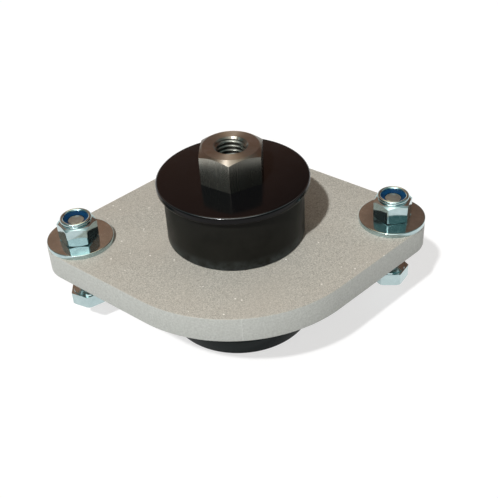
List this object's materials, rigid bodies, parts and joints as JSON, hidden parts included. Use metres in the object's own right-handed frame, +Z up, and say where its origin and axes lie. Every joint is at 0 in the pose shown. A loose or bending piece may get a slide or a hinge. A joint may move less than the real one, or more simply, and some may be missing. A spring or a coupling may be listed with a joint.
{
  "type": "transmission mount",
  "caption": "Transmission mount: an alloy plate between round rubber bushes and steel discs, with a tapped hexagon boss on top and a bolt, broad washer and lock nut at each end.",
  "frame": {"origin": "on the flat underside of the lower disc, on the axis of the central boss, which is also the middle of the plate", "axes": "+Z up along the central boss, out of its tapped hole; +X along the plate through both bolt holes; +Y across the plate"},
  "size_m": [0.1426, 0.103, 0.0744],
  "materials": {
    "blasted_alloy": "fine sand-blasted, matt",
    "black_rubber": "smooth satin",
    "black_disc": "glossy black",
    "bare_steel": "turned, lightly oiled",
    "dark_steel": "blackened",
    "bright_zinc": "bright bluish zinc plating",
    "blue_nylon": "satin"
  },
  "bodies": {
    "root": {"mounting_plate": "blasted_alloy", "upper_bush": "black_rubber", "lower_bush": "black_rubber", "upper_disc": "black_disc", "lower_disc": "black_disc", "centre_boss": "bare_steel", "retaining_screw": "dark_steel", "bolt_left": "bright_zinc", "bolt_right": "bright_zinc", "washer_left": "bright_zinc", "washer_right": "bright_zinc", "lock_nut_left": "bright_zinc", "lock_nut_right": "bright_zinc", "nylon_insert_left": "blue_nylon", "nylon_insert_right": "blue_nylon"}
  },
  "joints": []
}
